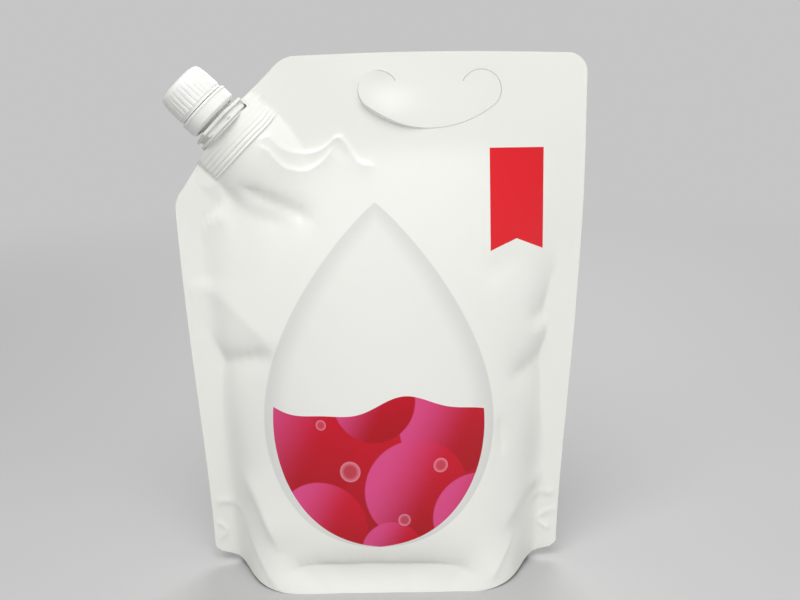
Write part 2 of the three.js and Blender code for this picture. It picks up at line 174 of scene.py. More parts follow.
# Floor and light: a pale studio floor with no edge in sight, a large soft lamp above the front, a weaker one
# from the right and one from behind, and an even grey room, which the camera sees at full strength.
floor_half = 4.0
floor_colour = (0.52, 0.52, 0.52, 1)
floor_roughness = 0.7
floor_near, floor_far = 0.35, 1.3
room_colour = (0.56, 0.56, 0.56, 1)
room_light = 0.56
lamps = {
    "key": {"place": (-0.12, -0.72, 1.15), "size": 1.0, "watts": 12.4},
    "right": {"place": (1.1, -1.0, 0.7), "size": 1.0, "watts": 3.5},
    "back": {"place": (0.2, 1.1, 1.0), "size": 1.0, "watts": 9.0},
}
lamp_aim = Vector((0, 0, 0.12))

corners = [(x * floor_half, y * floor_half, 0) for x, y in ((-1, -1), (1, -1), (1, 1), (-1, 1))]
floor_mesh = bpy.data.meshes.new("floor")
floor_mesh.from_pydata(corners, [], [(0, 1, 2, 3)])
floor = bpy.data.objects.new("floor", floor_mesh)
bpy.context.scene.collection.objects.link(floor)
floor_finish = Finish("floor")
floor_mesh.materials.append(floor_finish.set(Base_Color=floor_colour, Roughness=floor_roughness))
spot = floor_finish.node("ShaderNodeTexCoord", {}, {}, "Object")
reach = floor_finish.node("ShaderNodeVectorMath", {"operation": "LENGTH"}, {0: spot}, "Value")
ray_kinds = ("Is Camera Ray", "Is Glossy Ray", "Is Transmission Ray")
looks = [floor_finish.node("ShaderNodeLightPath", {}, {}, kind) for kind in ray_kinds]
straight = floor_finish.math("MINIMUM", looks[0] + looks[1] + looks[2], 1.0)
faded = floor_finish.ease(reach, floor_near, floor_far) * straight
glow = floor_finish.node("ShaderNodeEmission", {}, {"Color": room_colour, "Strength": 1.0})
both = floor_finish.tree.nodes.new("ShaderNodeMixShader")
floor_finish.feed(both.inputs[0], faded)
floor_finish.tree.links.new(floor_finish.shader.outputs[0], both.inputs[1])
floor_finish.tree.links.new(glow.socket, both.inputs[2])
floor_finish.tree.links.new(both.outputs[0], floor_finish.tree.nodes["Material Output"].inputs["Surface"])

for name, lamp in lamps.items():
    light = bpy.data.lights.new(name, "AREA")
    light.shape = "DISK"
    light.size = lamp["size"]
    light.energy = lamp["watts"]
    holder = bpy.data.objects.new(name, light)
    holder.location = lamp["place"]
    holder.rotation_mode = "QUATERNION"
    holder.rotation_quaternion = (lamp_aim - holder.location).to_track_quat("-Z", "Y")
    bpy.context.scene.collection.objects.link(holder)

room = bpy.data.worlds.new("room")
room.use_nodes = True
bpy.context.scene.world = room
shine = room.node_tree.nodes["Background"]
shine.inputs["Color"].default_value = room_colour
rays = room.node_tree.nodes.new("ShaderNodeLightPath")
seen = room.node_tree.nodes.new("ShaderNodeMix")
seen.inputs[2].default_value = room_light
seen.inputs[3].default_value = 1.0
room.node_tree.links.new(rays.outputs["Is Camera Ray"], seen.inputs[0])
room.node_tree.links.new(seen.outputs[0], shine.inputs["Strength"])

# Bag: two panels of white laminated film and a folded gusset, welded along their edges and filled with liquid.
# The welds stay flat, the film above the contents is flat, and the film creases where the bag swells.
bag_low, bag_high = (np.array(corner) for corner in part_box("pouch"))
bag_height = bag_high[2]
base_depth = bag_high[1] - bag_low[1]
flat_width = 199.4 * mm
side_weld = 8 * mm
film = 0.3 * mm
flat_top = 46 * mm  # the film is flat this far down from its top edge
contents_top = bag_height - flat_top
fill_power = 1.5  # a higher power keeps the depth further up
fill_edge = 1.5 * mm
corner_radius = 9 * mm
cut_radius = 14 * mm
foot_radius = 3 * mm
corner_lift = 8 * mm  # of the panels' lower corners off the floor
flat_half = 42 * mm  # half of the length that stands on the floor
square_height, square_power, square_bulge = 25 * mm, 4, 0.4  # the plan is squarer below this height
gusset_rise = 26 * mm
gusset_rise_width = 32 * mm
gusset_rows = 36
tent_power, tent_round = 1.4, 1.2
gusset_weld, gusset_weld_run = 1.5 * mm, 6 * mm
skirt_groove, groove_place, groove_width = 5 * mm, 0.79, 0.1  # behind the skirt, as shares of the half depth
flat_reach = flat_width / 2 - side_weld

cap_turn = next(joint for joint in frame["joints"] if joint["name"] == "cap_turn")
spout_place = np.array(cap_turn["pos_m"])
spout_axis = np.array(cap_turn["axis"])
cut_axis = np.array([spout_axis[2], 0, -spout_axis[0]])
boat_half = 22.3 * mm  # the spout's base: half its length and depth, and its height
boat_depth = 8.4 * mm
boat_height = 13.6 * mm
boat_rib = 0.6 * mm
weld_gap = 0.3 * mm
sleeve_step, sleeve_tip, sleeve_rim = 0.9 * mm, 2.2 * mm, 0.8 * mm
sleeve_grooves = [(-3.4, 0.22), (-5.7, 0.26), (-8.0, 0.30), (-10.2, 0.45), (-12.3, 0.5)]
groove_half = 0.38 * mm
hook_start, hook_run, hook_turn = 15 * mm, 8 * mm, 1.6 * mm  # of the grooves, at the upper tip
faint_start, faint_run, faint_share = -14 * mm, 8 * mm, 0.75  # of the outer grooves, up from the lower tip
faint_place, faint_span = -9.5, 3
weld_ramp = 8 * mm  # the film rises from the side welds over this width, and over more near the floor
weld_ramp_low, weld_ramp_height = 2 * mm, 40 * mm
channel_length = 46 * mm
channel_half = 28 * mm
channel_drift = 14 * mm
shoulder_rise = 4.2 * mm  # the film beyond the spout stands this much past its seat
shoulder_start = 16.1 * mm
seat_inset = 9 * mm
cut_length = 38.4 * mm  # from the spout's axis down to the lower end of the cut corner
lower_cut_back = 5.5 * mm
lower_round, lower_round_past = 12 * mm, 3 * mm
step_z = spout_place[2] + shoulder_start * cut_axis[2]
step_top = step_z + shoulder_rise * spout_axis[2]
edge_wall = 0.7
edge_groove_start, edge_groove_least, edge_groove_most = 1.2 * film, 0.02 * mm, 1.2 * mm
merge_distance = 0.002 * mm


def share(value):
    """The value held between 0 and 1."""
    return np.clip(value, 0, 1)


def smooth(value):
    """0 below 0, 1 above 1 and an S-curve between them."""
    held = share(value)
    return held * held * (3 - 2 * held)


def half_depth(z):
    """Half of the bag's depth on its middle line: full at the floor, and it runs out in a soft crease at the
    top of the contents."""
    depth = base_depth / 2 * (1 - np.maximum(0, z / contents_top) ** fill_power)
    return (depth + np.sqrt(depth**2 + fill_edge**2)) / 2


def contents_half(z):
    """Half of the width between the side welds: film doesn't stretch, so a deep section draws it in."""
    return flat_reach - 2 * half_depth(z) ** 2 / (3 * flat_reach)


def lower_edge(x):
    """Height of the panels' lower edge: on the floor in the middle, lifted as a parabola to each side."""
    return corner_lift * share((np.abs(x) - flat_half) / (flat_reach - flat_half)) ** 2


def from_spout(x, z):
    """Distance up along the cut corner and out along the spout's axis, from where that axis leaves the film."""
    right, up = x - spout_place[0], z - spout_place[2]
    return right * cut_axis[0] + up * cut_axis[2], right * spout_axis[0] + up * spout_axis[2]


def channel_depth(x, z):
    """Half depth of the film behind the spout: a lens as thick as the weld base that sinks into the contents."""
    along, out = from_spout(x, z)
    run = share((-boat_height - out) / channel_length)
    ease = smooth(run)
    half = boat_half + (channel_half - boat_half) * ease
    lens = np.maximum(0, 1 - ((along + channel_drift * ease) / half) ** 2)
    return (boat_depth - boat_rib) * lens * (1 - run**2)


def sleeve(x, z):
    """The film welded round the spout's base: it stands off by a step that ends sharply at the base's lower rim
    and tips, with a narrow groove between each two ribs, given as place and depth in millimetres. The grooves hook
    outwards at the upper tip, and the outer ones are fainter along the upper half."""
    along, out = from_spout(x, z)
    bent = out - hook_turn * share((along - hook_start) / hook_run) ** 2
    upper = smooth((along - faint_start) / faint_run)
    grooves = 0
    for place, depth in sleeve_grooves:
        faint = 1 - faint_share * upper * share((place - faint_place) / faint_span)
        grooves = grooves + faint * depth * mm * np.exp(-(((bent - place * mm) / groove_half) ** 2))
    tip = smooth((boat_half - np.abs(along)) / sleeve_tip)
    return (sleeve_step - grooves) * tip * smooth((bent + boat_height + sleeve_rim / 2) / sleeve_rim)


def panel_depth(x, z):
    """Half depth of the film's surface: a lens across the bag, squarer near the floor, that rises softly from
    the side welds and is joined with the channel."""
    side = share(np.abs(x) / contents_half(z))
    square = np.exp(-z / square_height)
    lens = (1 - side ** (2 + square_power * square)) ** (1 + square_bulge * square)
    inset = np.maximum(0, contents_half(z) - np.abs(x))
    ramp = weld_ramp + weld_ramp_low * np.exp(-z / weld_ramp_height)
    soft = 1 - np.exp(-((inset / ramp) ** 2))
    return film + np.hypot(half_depth(z) * lens * soft, channel_depth(x, z)) + sleeve(x, z)


fold_blend = 0.08
fold_clear = 4 * mm
fold_edge = 5 * mm


def fold(x, z, path, height, above, below, crest, ends, power=1):
    """One crease of the film along a path of points, its corners cut, every length in millimetres. Its height
    falls off from the path as exp(-distance), over the width above on the left of the path's direction and below
    on its right, where a power over 1 keeps it level for longer. The crest is rounded, and the height fades in and
    out over the given share of the path's length at its two ends. Stretches about equally near are blended."""
    height, above, below, crest = (length * mm for length in (height, above, below, crest))
    corners = np.array(path) * mm
    cut = [(3 * corners[:-1] + corners[1:]) / 4, (corners[:-1] + 3 * corners[1:]) / 4]
    points = np.concatenate([corners[:1], np.stack(cut, axis=1).reshape(-1, 2), corners[-1:]])
    lengths = np.hypot(*np.diff(points, axis=0).T)
    distances, heights = [], []
    for n, length in enumerate(lengths):
        ahead = (points[n + 1] - points[n]) / length
        right, up = x - points[n][0], z - points[n][1]
        t = np.clip(right * ahead[0] + up * ahead[1], 0, length)
        far = np.hypot(right - t * ahead[0], up - t * ahead[1])
        on_left = smooth((ahead[0] * up - ahead[1] * right) / (2 * crest) + 0.5)
        past = np.sqrt(far**2 + crest**2) - crest
        falling = np.exp(-past / above) * on_left + np.exp(-((past / below) ** power)) * (1 - on_left)
        distances.append(far)
        heights.append(falling)
    distances = np.array(distances)
    weights = np.exp((distances.min(axis=0) - distances) / (fold_blend * (above + below)))
    fade = 1
    for tip, inwards, length in ((points[0], points[1], lengths[0]), (points[-1], points[-2], lengths[-1])):
        ahead = (inwards - tip) / length
        fade = fade * smooth(((x - tip[0]) * ahead[0] + (z - tip[1]) * ahead[1]) / (ends * lengths.sum()))
    return height * fade * (weights * heights).sum(axis=0) / weights.sum(axis=0)


front_folds = [
    {"path": [(-60, 219), (-57, 221), (-52, 223), (-49, 219), (-45, 216), (-41, 214), (-35, 213), (-29, 214),
              (-24, 217), (-20, 221), (-17, 220), (-13, 213), (-9, 208), (0, 206)],
     "height": 1.0, "above": 0.9, "below": 4, "crest": 0.2, "ends": 0.1},
    {"path": [(-58, 219), (-53, 216), (-49, 211), (-45, 207), (-36, 204.5), (-30, 207), (-25, 211), (-21, 217)],
     "height": 1.0, "above": 0.9, "below": 5, "crest": 0.2, "ends": 0.12},
    {"path": [(-78, 202), (-75, 197), (-68, 188), (-60, 183), (-50, 181), (-40, 181)],
     "height": -2.0, "above": 4.5, "below": 12, "crest": 1.1, "ends": 0.25},
    {"path": [(-70, 200), (-56, 193), (-45, 188), (-36, 184), (-28, 180)],
     "height": -2.9, "above": 3.6, "below": 10, "crest": 0.7, "ends": 0.28},
    {"path": [(-77, 193), (-82, 187), (-89, 179), (-91, 177)],
     "height": -1.7, "above": 2.2, "below": 6, "crest": 0.6, "ends": 0.3},
    {"path": [(-72, 184), (-80, 182), (-89, 179), (-92, 178)],
     "height": 1.2, "above": 6, "below": 3, "crest": 0.5, "ends": 0.3},
    {"path": [(-88, 154), (-87.5, 148), (-77, 142), (-68, 133.5), (-60, 126), (-52, 116)],
     "height": 1.3, "above": 9, "below": 9, "crest": 0.3, "ends": 0.14},
    {"path": [(-92, 120), (-86, 115), (-80, 110), (-69, 112.5), (-59, 115), (-50, 111)],
     "height": -3.5, "above": 4.5, "below": 16, "crest": 1.4, "ends": 0.28},
    {"path": [(-93, 130), (-87, 126), (-84, 123)],
     "height": -0.7, "above": 1.2, "below": 1.5, "crest": 0.4, "ends": 0.4},
    {"path": [(72, 168), (60, 160), (48, 148)],
     "height": -0.9, "above": 6, "below": 5, "crest": 2, "ends": 0.4},
    {"path": [(95, 155), (86, 141), (80, 134), (70, 125)],
     "height": -2.6, "above": 14, "below": 4.5, "crest": 1.6, "ends": 0.3},
    {"path": [(86, 129), (80, 125), (74, 120)],
     "height": 1.0, "above": 3, "below": 4, "crest": 1.5, "ends": 0.4},
    {"path": [(91, 122), (86, 117), (78, 111), (70, 105), (60, 99)],
     "height": -3.6, "above": 26, "below": 5, "crest": 1.4, "ends": 0.3},
    {"path": [(57, 84), (58, 75), (60, 64)],
     "height": -1.0, "above": 3, "below": 1.5, "crest": 0.4, "ends": 0.3},
    {"path": [(-74, 58), (-68, 48), (-64, 42), (-59, 31), (-50, 17)],
     "height": 3.0, "above": 9, "below": 2.8, "crest": 1.0, "ends": 0.35},
    {"path": [(82, 54), (78, 46), (73, 42), (67, 36), (57, 25)],
     "height": 1.6, "above": 3, "below": 8, "crest": 0.9, "ends": 0.35},
    {"path": [(78, 44), (75, 38), (69, 28), (61, 16)],
     "height": -1.8, "above": 5, "below": 4, "crest": 0.9, "ends": 0.35},
    {"path": [(-90, 33), (-81, 34.5), (-75, 33), (-72, 30), (-70, 23), (-62, 11), (-56, 3.5), (-51, 1.5)],
     "height": 0.8, "above": 2.5, "below": 1.2, "crest": 0.3, "ends": 0.1},
    {"path": [(-91, 23), (-85, 21.5), (-82, 17), (-87, 13), (-91, 10)],
     "height": 0.6, "above": 1.2, "below": 1.6, "crest": 0.3, "ends": 0.15},
    {"path": [(91, 36), (83, 36.5), (78, 36), (73, 33), (66, 24), (57, 10), (52, 3)],
     "height": 0.8, "above": 1.2, "below": 2.5, "crest": 0.3, "ends": 0.1},
    {"path": [(91, 27), (85, 26.5), (80, 24), (79, 21), (82, 18), (87, 15)],
     "height": 0.6, "above": 1.6, "below": 1.2, "crest": 0.3, "ends": 0.15},
    {"path": [(-54, 3), (-48, 9), (-40, 12.5), (-32, 14), (20, 14), (30, 13.2), (38, 11.5), (46, 7), (52, 3)],
     "height": -4.2, "above": 9, "below": 14, "crest": 0.9, "ends": 0.16, "power": 3},
    {"path": [(-40, 12.8), (-30, 14), (24, 14), (34, 12.8)],
     "height": -1.2, "above": 0.9, "below": 14, "crest": 0.25, "ends": 0.25, "power": 3},
]
back_folds = [
    {"path": [(-58, 219), (-46, 212), (-30, 206), (-12, 209), (4, 205)],
     "height": 1.0, "above": 1.5, "below": 6, "crest": 0.3, "ends": 0.2},
    {"path": [(-76, 203), (-62, 197), (-46, 187)],
     "height": -3.6, "above": 4, "below": 9, "crest": 1.4, "ends": 0.35},
    {"path": [(-90, 160), (-78, 148), (-60, 140), (-48, 126)],
     "height": 2.2, "above": 10, "below": 5, "crest": 1, "ends": 0.35},
    {"path": [(-88, 108), (-72, 100), (-52, 101)],
     "height": -2.8, "above": 6, "below": 8, "crest": 2, "ends": 0.4},
    {"path": [(92, 170), (76, 158), (58, 152)],
     "height": 2.0, "above": 8, "below": 5, "crest": 1.2, "ends": 0.4},
    {"path": [(88, 126), (74, 112), (64, 96)],
     "height": -3.0, "above": 6, "below": 7, "crest": 1.4, "ends": 0.4},
    {"path": [(-72, 54), (-62, 36), (-50, 20)],
     "height": 2.2, "above": 8, "below": 5, "crest": 1.5, "ends": 0.4},
    {"path": [(76, 58), (66, 40), (54, 22)],
     "height": 2.2, "above": 6, "below": 8, "crest": 1.5, "ends": 0.4},
    {"path": [(-90, 34), (-78, 34), (-72, 31), (-68, 24), (-61, 11), (-52, 1)],
     "height": 0.9, "above": 2.5, "below": 1.2, "crest": 0.35, "ends": 0.12},
    {"path": [(91, 35), (78, 35), (73, 31), (68, 23), (62, 12), (52, 1)],
     "height": 0.9, "above": 1.2, "below": 2.5, "crest": 0.35, "ends": 0.12},
    {"path": [(-52, 3), (-44, 10), (-34, 13.4), (28, 14), (38, 12), (50, 3)],
     "height": -4.2, "above": 9, "below": 14, "crest": 0.9, "ends": 0.16, "power": 3},
    {"path": [(-38, 12.8), (-26, 14), (26, 14), (36, 12.4)],
     "height": -1.2, "above": 0.9, "below": 14, "crest": 0.25, "ends": 0.25, "power": 3},
]


def relief(x, z, folds):
    """All creases of one panel. It is nothing at the outer edges of the side welds and over the spout's base."""
    height = sum(fold(x, z, **each) for each in folds)
    along, out = from_spout(x, z)
    inwards = smooth((out + boat_height + fold_clear) / fold_clear)
    sideways = smooth((boat_half + fold_clear - np.abs(along)) / fold_clear)
    edge = smooth((contents_half(z) + side_weld - np.abs(x)) / fold_edge)
    return height * (1 - inwards * sideways) * edge


wave_low, wave_run = 60 * mm, 120 * mm
wave_clear, wave_clear_run = 26 * mm, 30 * mm
slow_height, quick_height = 0.9 * mm, 0.22 * mm


def wave(x, z):
    """Slow waves of the whole thickness: up to a millimetre over the flat top and along the side welds."""
    along, out = from_spout(x, z)
    free = smooth((z - wave_low) / wave_run) * smooth((np.hypot(along, out) - wave_clear) / wave_clear_run)
    slow = np.sin(x / (31 * mm) + 0.8) * np.sin(z / (37 * mm) + 0.4)
    quick = np.sin(x / (13 * mm) + z / (21 * mm))
    return free * (slow_height * slow + quick_height * quick)


def outline(z):
    """Left and right ends of each level, and the straight line of the cut corner as a guide. The left end follows
    the side weld, then the cut corner past the spout, where the film ends at the seat of the spout and stands
    further out beyond it. All corners are rounded."""
    low = share(1 - z / foot_radius)
    side = contents_half(z) + side_weld - foot_radius * (1 - np.sqrt(1 - low**2))
    low_z = spout_place[2] - cut_length * cut_axis[2] - lower_cut_back * spout_axis[2]
    seat_z = spout_place[2] + (seat_inset - boat_half) * cut_axis[2]
    guide = spout_place[0] + (z - spout_place[2])
    low_x = spout_place[0] - cut_length * cut_axis[0] - lower_cut_back * spout_axis[0]
    seat_x = spout_place[0] + (seat_inset - boat_half) * cut_axis[0]
    step_x = spout_place[0] + shoulder_start * cut_axis[0]
    top_x = step_x + shoulder_rise * spout_axis[0]
    slope = np.interp(z, [low_z, seat_z, step_z, step_top], [low_x, seat_x, step_x, top_x])
    beyond = top_x + (z - step_top)
    bend_z = bag_height - cut_radius * (1 - math.sqrt(0.5))
    bend_x = top_x + (bend_z - step_top) + cut_radius * math.sqrt(0.5)
    bend = bend_x - np.sqrt(np.maximum(0, cut_radius**2 - (z - bag_height + cut_radius) ** 2))
    left = np.where(z > step_top, np.where(z > bend_z, bend, beyond), slope)
    blend = smooth((z - (low_z - lower_round)) / (lower_round + lower_round_past))
    left = np.where(z < low_z, -side + (low_x + side) * blend**2, left)
    left = np.maximum(left, -side)
    up = share((z - (bag_height - corner_radius)) / corner_radius)
    right = side - corner_radius * (1 - np.sqrt(1 - up**2))
    return left, right, np.maximum(guide, -side)


def heights():
    """Levels of the grid, in stretches of (first, last, count): close together at the skirt, at the creases
    beside the spout and at the round top corner."""
    corner_z = bag_height - corner_radius
    stretches = [
        (0, 12 * mm, 10), (12 * mm, 19 * mm, 14), (19 * mm, 40 * mm, 14), (40 * mm, 196 * mm, 58),
        (196 * mm, 224 * mm, 52), (224 * mm, step_z, 16), (step_z, step_top, 5), (step_top, corner_z, 7),
    ]
    levels = [np.linspace(low, high, count, endpoint=False) for low, high, count in stretches]
    return np.concatenate(levels + [corner_z + corner_radius * np.sin(np.linspace(0, math.pi / 2, 9))])


column_count = 230
near_columns, near_reach = 56, 23.5 * mm
crease_columns, crease_reach = 146, 78 * mm
crowding = 0.3
crease_low, crease_run = 150 * mm, 35 * mm
guide_fall, guide_run = 6 * mm, 40 * mm
droop_depth = 1.6 * mm
droop_middle, droop_flat, droop_run = 23 * mm, 12 * mm, 65 * mm


def panel(side, folds):
    """One panel as a grid of points: levels up, columns across. Beside the spout the columns run along the cut
    corner, closer together there. The top edge droops a little to both sides of its middle. side is -1 for the
    front and 1 for the back."""
    level = heights()[:, None]
    left, right, guide = outline(level)
    u = np.linspace(0, 1, column_count + 1)[None, :]
    even = 0.5 + ((1 + crowding) * (2 * u - 1) - crowding * (2 * u - 1) ** 3) / 2
    span = right - guide
    near = np.interp(u * column_count, [0, near_columns, crease_columns], [0, near_reach, crease_reach])
    rest = (span - crease_reach) * share((u * column_count - crease_columns) / (column_count - crease_columns))
    offset = even * span + (near + rest - even * span) * smooth((level - crease_low) / crease_run)
    x = guide + offset + (left - guide) * np.exp(-offset / guide_fall) * (1 - smooth(offset / guide_run))
    z = level + lower_edge(x) * (1 - share(level / contents_top))
    depth = np.maximum(film, panel_depth(x, z) + relief(x, z, folds))
    droop = droop_depth * share((np.abs(x - droop_middle) - droop_flat) / droop_run) ** 1.5
    droop = droop * smooth((level - contents_top) / flat_top)
    return np.stack([x, side * depth + wave(x, z), z - droop], axis=2)


def underside(front_row, back_row):
    """The gusset as a grid: it lies on the floor in the middle, rises as a tent to each side and has a groove
    behind the welded skirt along its front and back edges."""
    across = np.sin(np.linspace(-1, 1, gusset_rows + 1)[:, None] * math.pi / 2)
    middle, reach = (front_row + back_row) / 2, (back_row - front_row) / 2
    x = np.broadcast_to(middle[None, :, 0], (gusset_rows + 1, len(front_row)))
    y = middle[None, :, 1] + across * reach[None, :, 1]
    room = share((reach[None, :, 1] - gusset_weld) / gusset_weld_run)
    tent = gusset_rise * share((np.abs(x) - flat_half) / gusset_rise_width) ** tent_power
    groove = np.maximum(0, 1 - ((np.abs(across) - groove_place) / groove_width) ** 2)
    z = middle[None, :, 2] + room * (tent * (1 - np.abs(across) ** tent_round) + skirt_groove * groove)
    return np.stack([x, y, z], axis=2)


def edge_strip(front_edge, back_edge):
    """The cut edge of the film, from the front panel to the back one: each film's own thickness, and between
    them a groove that opens where the two films part over the spout's base."""
    ahead = np.gradient((front_edge + back_edge) / 2, axis=0)
    ahead /= np.linalg.norm(ahead, axis=1)[:, None]
    inward = np.stack([ahead[:, 2], np.zeros(len(ahead)), -ahead[:, 0]], axis=1)
    half = (back_edge[:, 1] - front_edge[:, 1]) / 2
    wall = np.minimum(film, half * edge_wall)
    groove = np.clip(half - edge_groove_start, edge_groove_least, edge_groove_most)[:, None] * inward
    thick = np.stack([np.zeros(len(half)), wall, np.zeros(len(half))], axis=1)
    return np.stack([
        front_edge,
        front_edge + thick,
        front_edge + thick + groove,
        back_edge - thick + groove,
        back_edge - thick,
        back_edge,
    ])


def grid_faces(rows, columns, start):
    """Corner numbers of a grid's quads, counted from the number of its first point."""
    n = start + np.arange((rows - 1) * columns).reshape(rows - 1, columns)[:, :-1].ravel()
    return np.stack([n, n + 1, n + columns + 1, n + columns], axis=1)


def closed_mesh(name, grids):
    """One mesh from several grids of points that share their borders. Equal points are merged, what is left
    open is capped, and the faces are turned outwards."""
    points, faces, start = [], [], 0
    for grid in grids:
        points.append(grid.reshape(-1, 3))
        faces.append(grid_faces(grid.shape[0], grid.shape[1], start))
        start += grid.shape[0] * grid.shape[1]
    mesh = bpy.data.meshes.new(name)
    mesh.from_pydata(np.concatenate(points), [], np.concatenate(faces))
    work = bmesh.new()
    work.from_mesh(mesh)
    bmesh.ops.remove_doubles(work, verts=work.verts, dist=merge_distance)
    open_edges = [edge for edge in work.edges if edge.is_boundary]
    bmesh.ops.holes_fill(work, edges=open_edges, sides=0)
    bmesh.ops.recalc_face_normals(work, faces=work.faces)
    work.to_mesh(mesh)
    work.free()
    mesh.shade_smooth()
    return mesh


def add_piece(name, mesh, finish, body, node):
    """Puts a mesh in the scene as a piece that rides on a body and stands for a node."""
    piece = bpy.data.objects.new(name, mesh)
    bpy.context.scene.collection.objects.link(piece)
    mesh.materials.clear()
    mesh.materials.append(finish)
    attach(piece, body)
    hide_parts(node)
    return piece


front = panel(-1, front_folds)
back = panel(1, back_folds)
gusset = underside(front[0], back[0])
rim_front = np.concatenate([front[:, 0], front[-1, 1:-1], front[::-1, -1]])
rim_back = np.concatenate([back[:, 0], back[-1, 1:-1], back[::-1, -1]])
bag_mesh = closed_mesh("pouch_film", [front, back, gusset, edge_strip(rim_front, rim_back)])

# Handle: a C-shaped slit cut through both films, hooked over at its two ends. The flap stays in its place, but
# stands a little forward and is drawn up along its lower left edge.
handle_x = 25 * mm
handle_z = bag_height - 18 * mm
handle_half = 24.5 * mm
handle_end = 9.6 * mm
handle_sag = 11 * mm
slit_width = 0.5 * mm
hook_left, hook_right = 30, 155
cutter_half = 8 * mm
flap_lift = 3.2 * mm
flap_least = 0.08
flap_start, flap_run = 4 * mm, 30 * mm
hinge_run = 18 * mm
flap_turn = 10 * mm


def arc(centre, radius, start, end):
    """Points of a circle's arc from one angle to another, in degrees."""
    turn = np.radians(np.linspace(start, end, 40))
    return np.stack([centre[0] + radius * np.cos(turn), centre[1] + radius * np.sin(turn)], axis=1)


def slit_path():
    """Middle line of the slit: round left end, shallow arc below, round right end."""
    chord = handle_half + handle_end * math.sqrt(0.5)
    radius = (chord**2 + handle_sag**2) / (2 * handle_sag)
    drop = handle_end * math.sqrt(0.5)
    centre_z = handle_z - drop - handle_sag + radius
    swing = math.degrees(math.asin(chord / radius))
    return np.concatenate([
        arc((handle_x - handle_half, handle_z), handle_end, hook_left, 225)[:-1],
        arc((handle_x, centre_z), radius, 270 - swing, 270 + swing)[:-1],
        arc((handle_x + handle_half, handle_z), handle_end, -45, hook_right),
    ])


def standing_band(path, width, half_thickness):
    """A closed solid along a path in X and Z: its section is a rectangle across the path, thick in Y."""
    ahead = np.gradient(path, axis=0)
    ahead /= np.hypot(*ahead.T)[:, None]
    across = np.stack([-ahead[:, 1], ahead[:, 0]], axis=1) * width / 2
    near, far = path - across, path + across
    ring = [(near, -1), (far, -1), (far, 1), (near, 1), (near, -1)]
    return np.stack([np.stack([p[:, 0], np.full(len(p), y * half_thickness), p[:, 1]], axis=1) for p, y in ring])


def in_loop(x, z, loop):
    """True inside a closed line, by counting how many of its stretches a level ray crosses."""
    hits = np.zeros(x.shape, int)
    for (x0, z0), (x1, z1) in zip(loop, np.roll(loop, -1, axis=0)):
        spans = (z0 > z) != (z1 > z)
        hits += spans & (x < x0 + (z - z0) * (x1 - x0) / (z1 - z0 + 1e-15))
    return hits % 2 == 1


slit = slit_path()
cutter_mesh = closed_mesh("slit_cutter", [standing_band(slit, slit_width, cutter_half)])
cutter = bpy.data.objects.new("slit_cutter", cutter_mesh)
bpy.context.scene.collection.objects.link(cutter)
uncut = bpy.data.objects.new("uncut_film", bag_mesh)
bpy.context.scene.collection.objects.link(uncut)
cut = uncut.modifiers.new("slit", "BOOLEAN")
cut.operation = "DIFFERENCE"
cut.solver = "MANIFOLD"
cut.object = cutter
bpy.context.view_layer.update()
film_mesh = bpy.data.meshes.new_from_object(uncut.evaluated_get(bpy.context.evaluated_depsgraph_get()))
film_mesh.name = "pouch_film"
bpy.data.objects.remove(uncut)
bpy.data.objects.remove(cutter)

points = np.empty(len(film_mesh.vertices) * 3)
film_mesh.vertices.foreach_get("co", points)
points = points.reshape(-1, 3)
in_flap = in_loop(points[:, 0], points[:, 2], slit)
hinge_left, hinge_right = slit[0], slit[-1]
beyond = np.clip(points[:, 0], hinge_left[0], hinge_right[0])
from_hinge = np.hypot(points[:, 0] - beyond, points[:, 2] - hinge_left[1])
leftward = smooth((handle_x + flap_start - points[:, 0]) / flap_run)
lift = in_flap * flap_lift * smooth(from_hinge / hinge_run) * (flap_least + (1 - flap_least) * leftward)
points[:, 1] -= lift
points[:, 2] += lift**2 / flap_turn
film_mesh.vertices.foreach_set("co", points.ravel())
film_mesh.shade_smooth()
film_mesh.set_sharp_from_angle(angle=math.radians(50))

# Print and finish of the film: satin-gloss white with faint crinkles. On the front a large pale drop, its lower
# part filled with round shapes from pink to crimson and light bubbles, and a red ribbon by the upper right edge.
# Places and sizes of the print are in millimetres, petals and bubbles as x, z and radius.
film_white = (0.87, 0.876, 0.83, 1)
ribbon_red = (0.76, 0.012, 0.022, 1)
drop_grey = (0.72, 0.725, 0.70, 1)
wave_pink = (0.70, 0.07, 0.24, 1)
wave_crimson = (0.60, 0.003, 0.022, 1)
wave_dark = (0.42, 0.002, 0.010, 1)
ribbon_middle, ribbon_half = 66.6, 13.0
ribbon_top, ribbon_tips, ribbon_notch = 214.5, 165.5, 171.0
drop_low, drop_high, drop_half = 24.0, 190.0, 57.0
drop_sharp, drop_full, peak_rise = 0.5, 0.9, 0.357
drop_peak = peak_rise**drop_sharp * (1 - peak_rise) ** drop_full
drop_middle, drop_blur = -2, 0.4
rim_width, rim_fade = 14.0, 0.82
filling_inset, filling_top, filling_long, filling_short = 5, 92, 5.0, 1.4
bubble_pale = (0.90, 0.42, 0.55, 1)
petals = [(-44, 70, 30), (34, 84, 26), (-4, 96, 20), (16, 52, 25), (-30, 34, 22), (44, 38, 20), (4, 22, 15)]
bubbles = [(-16, 62, 5), (28, 64, 3.5), (-30, 84, 2.5), (10, 38, 3)]

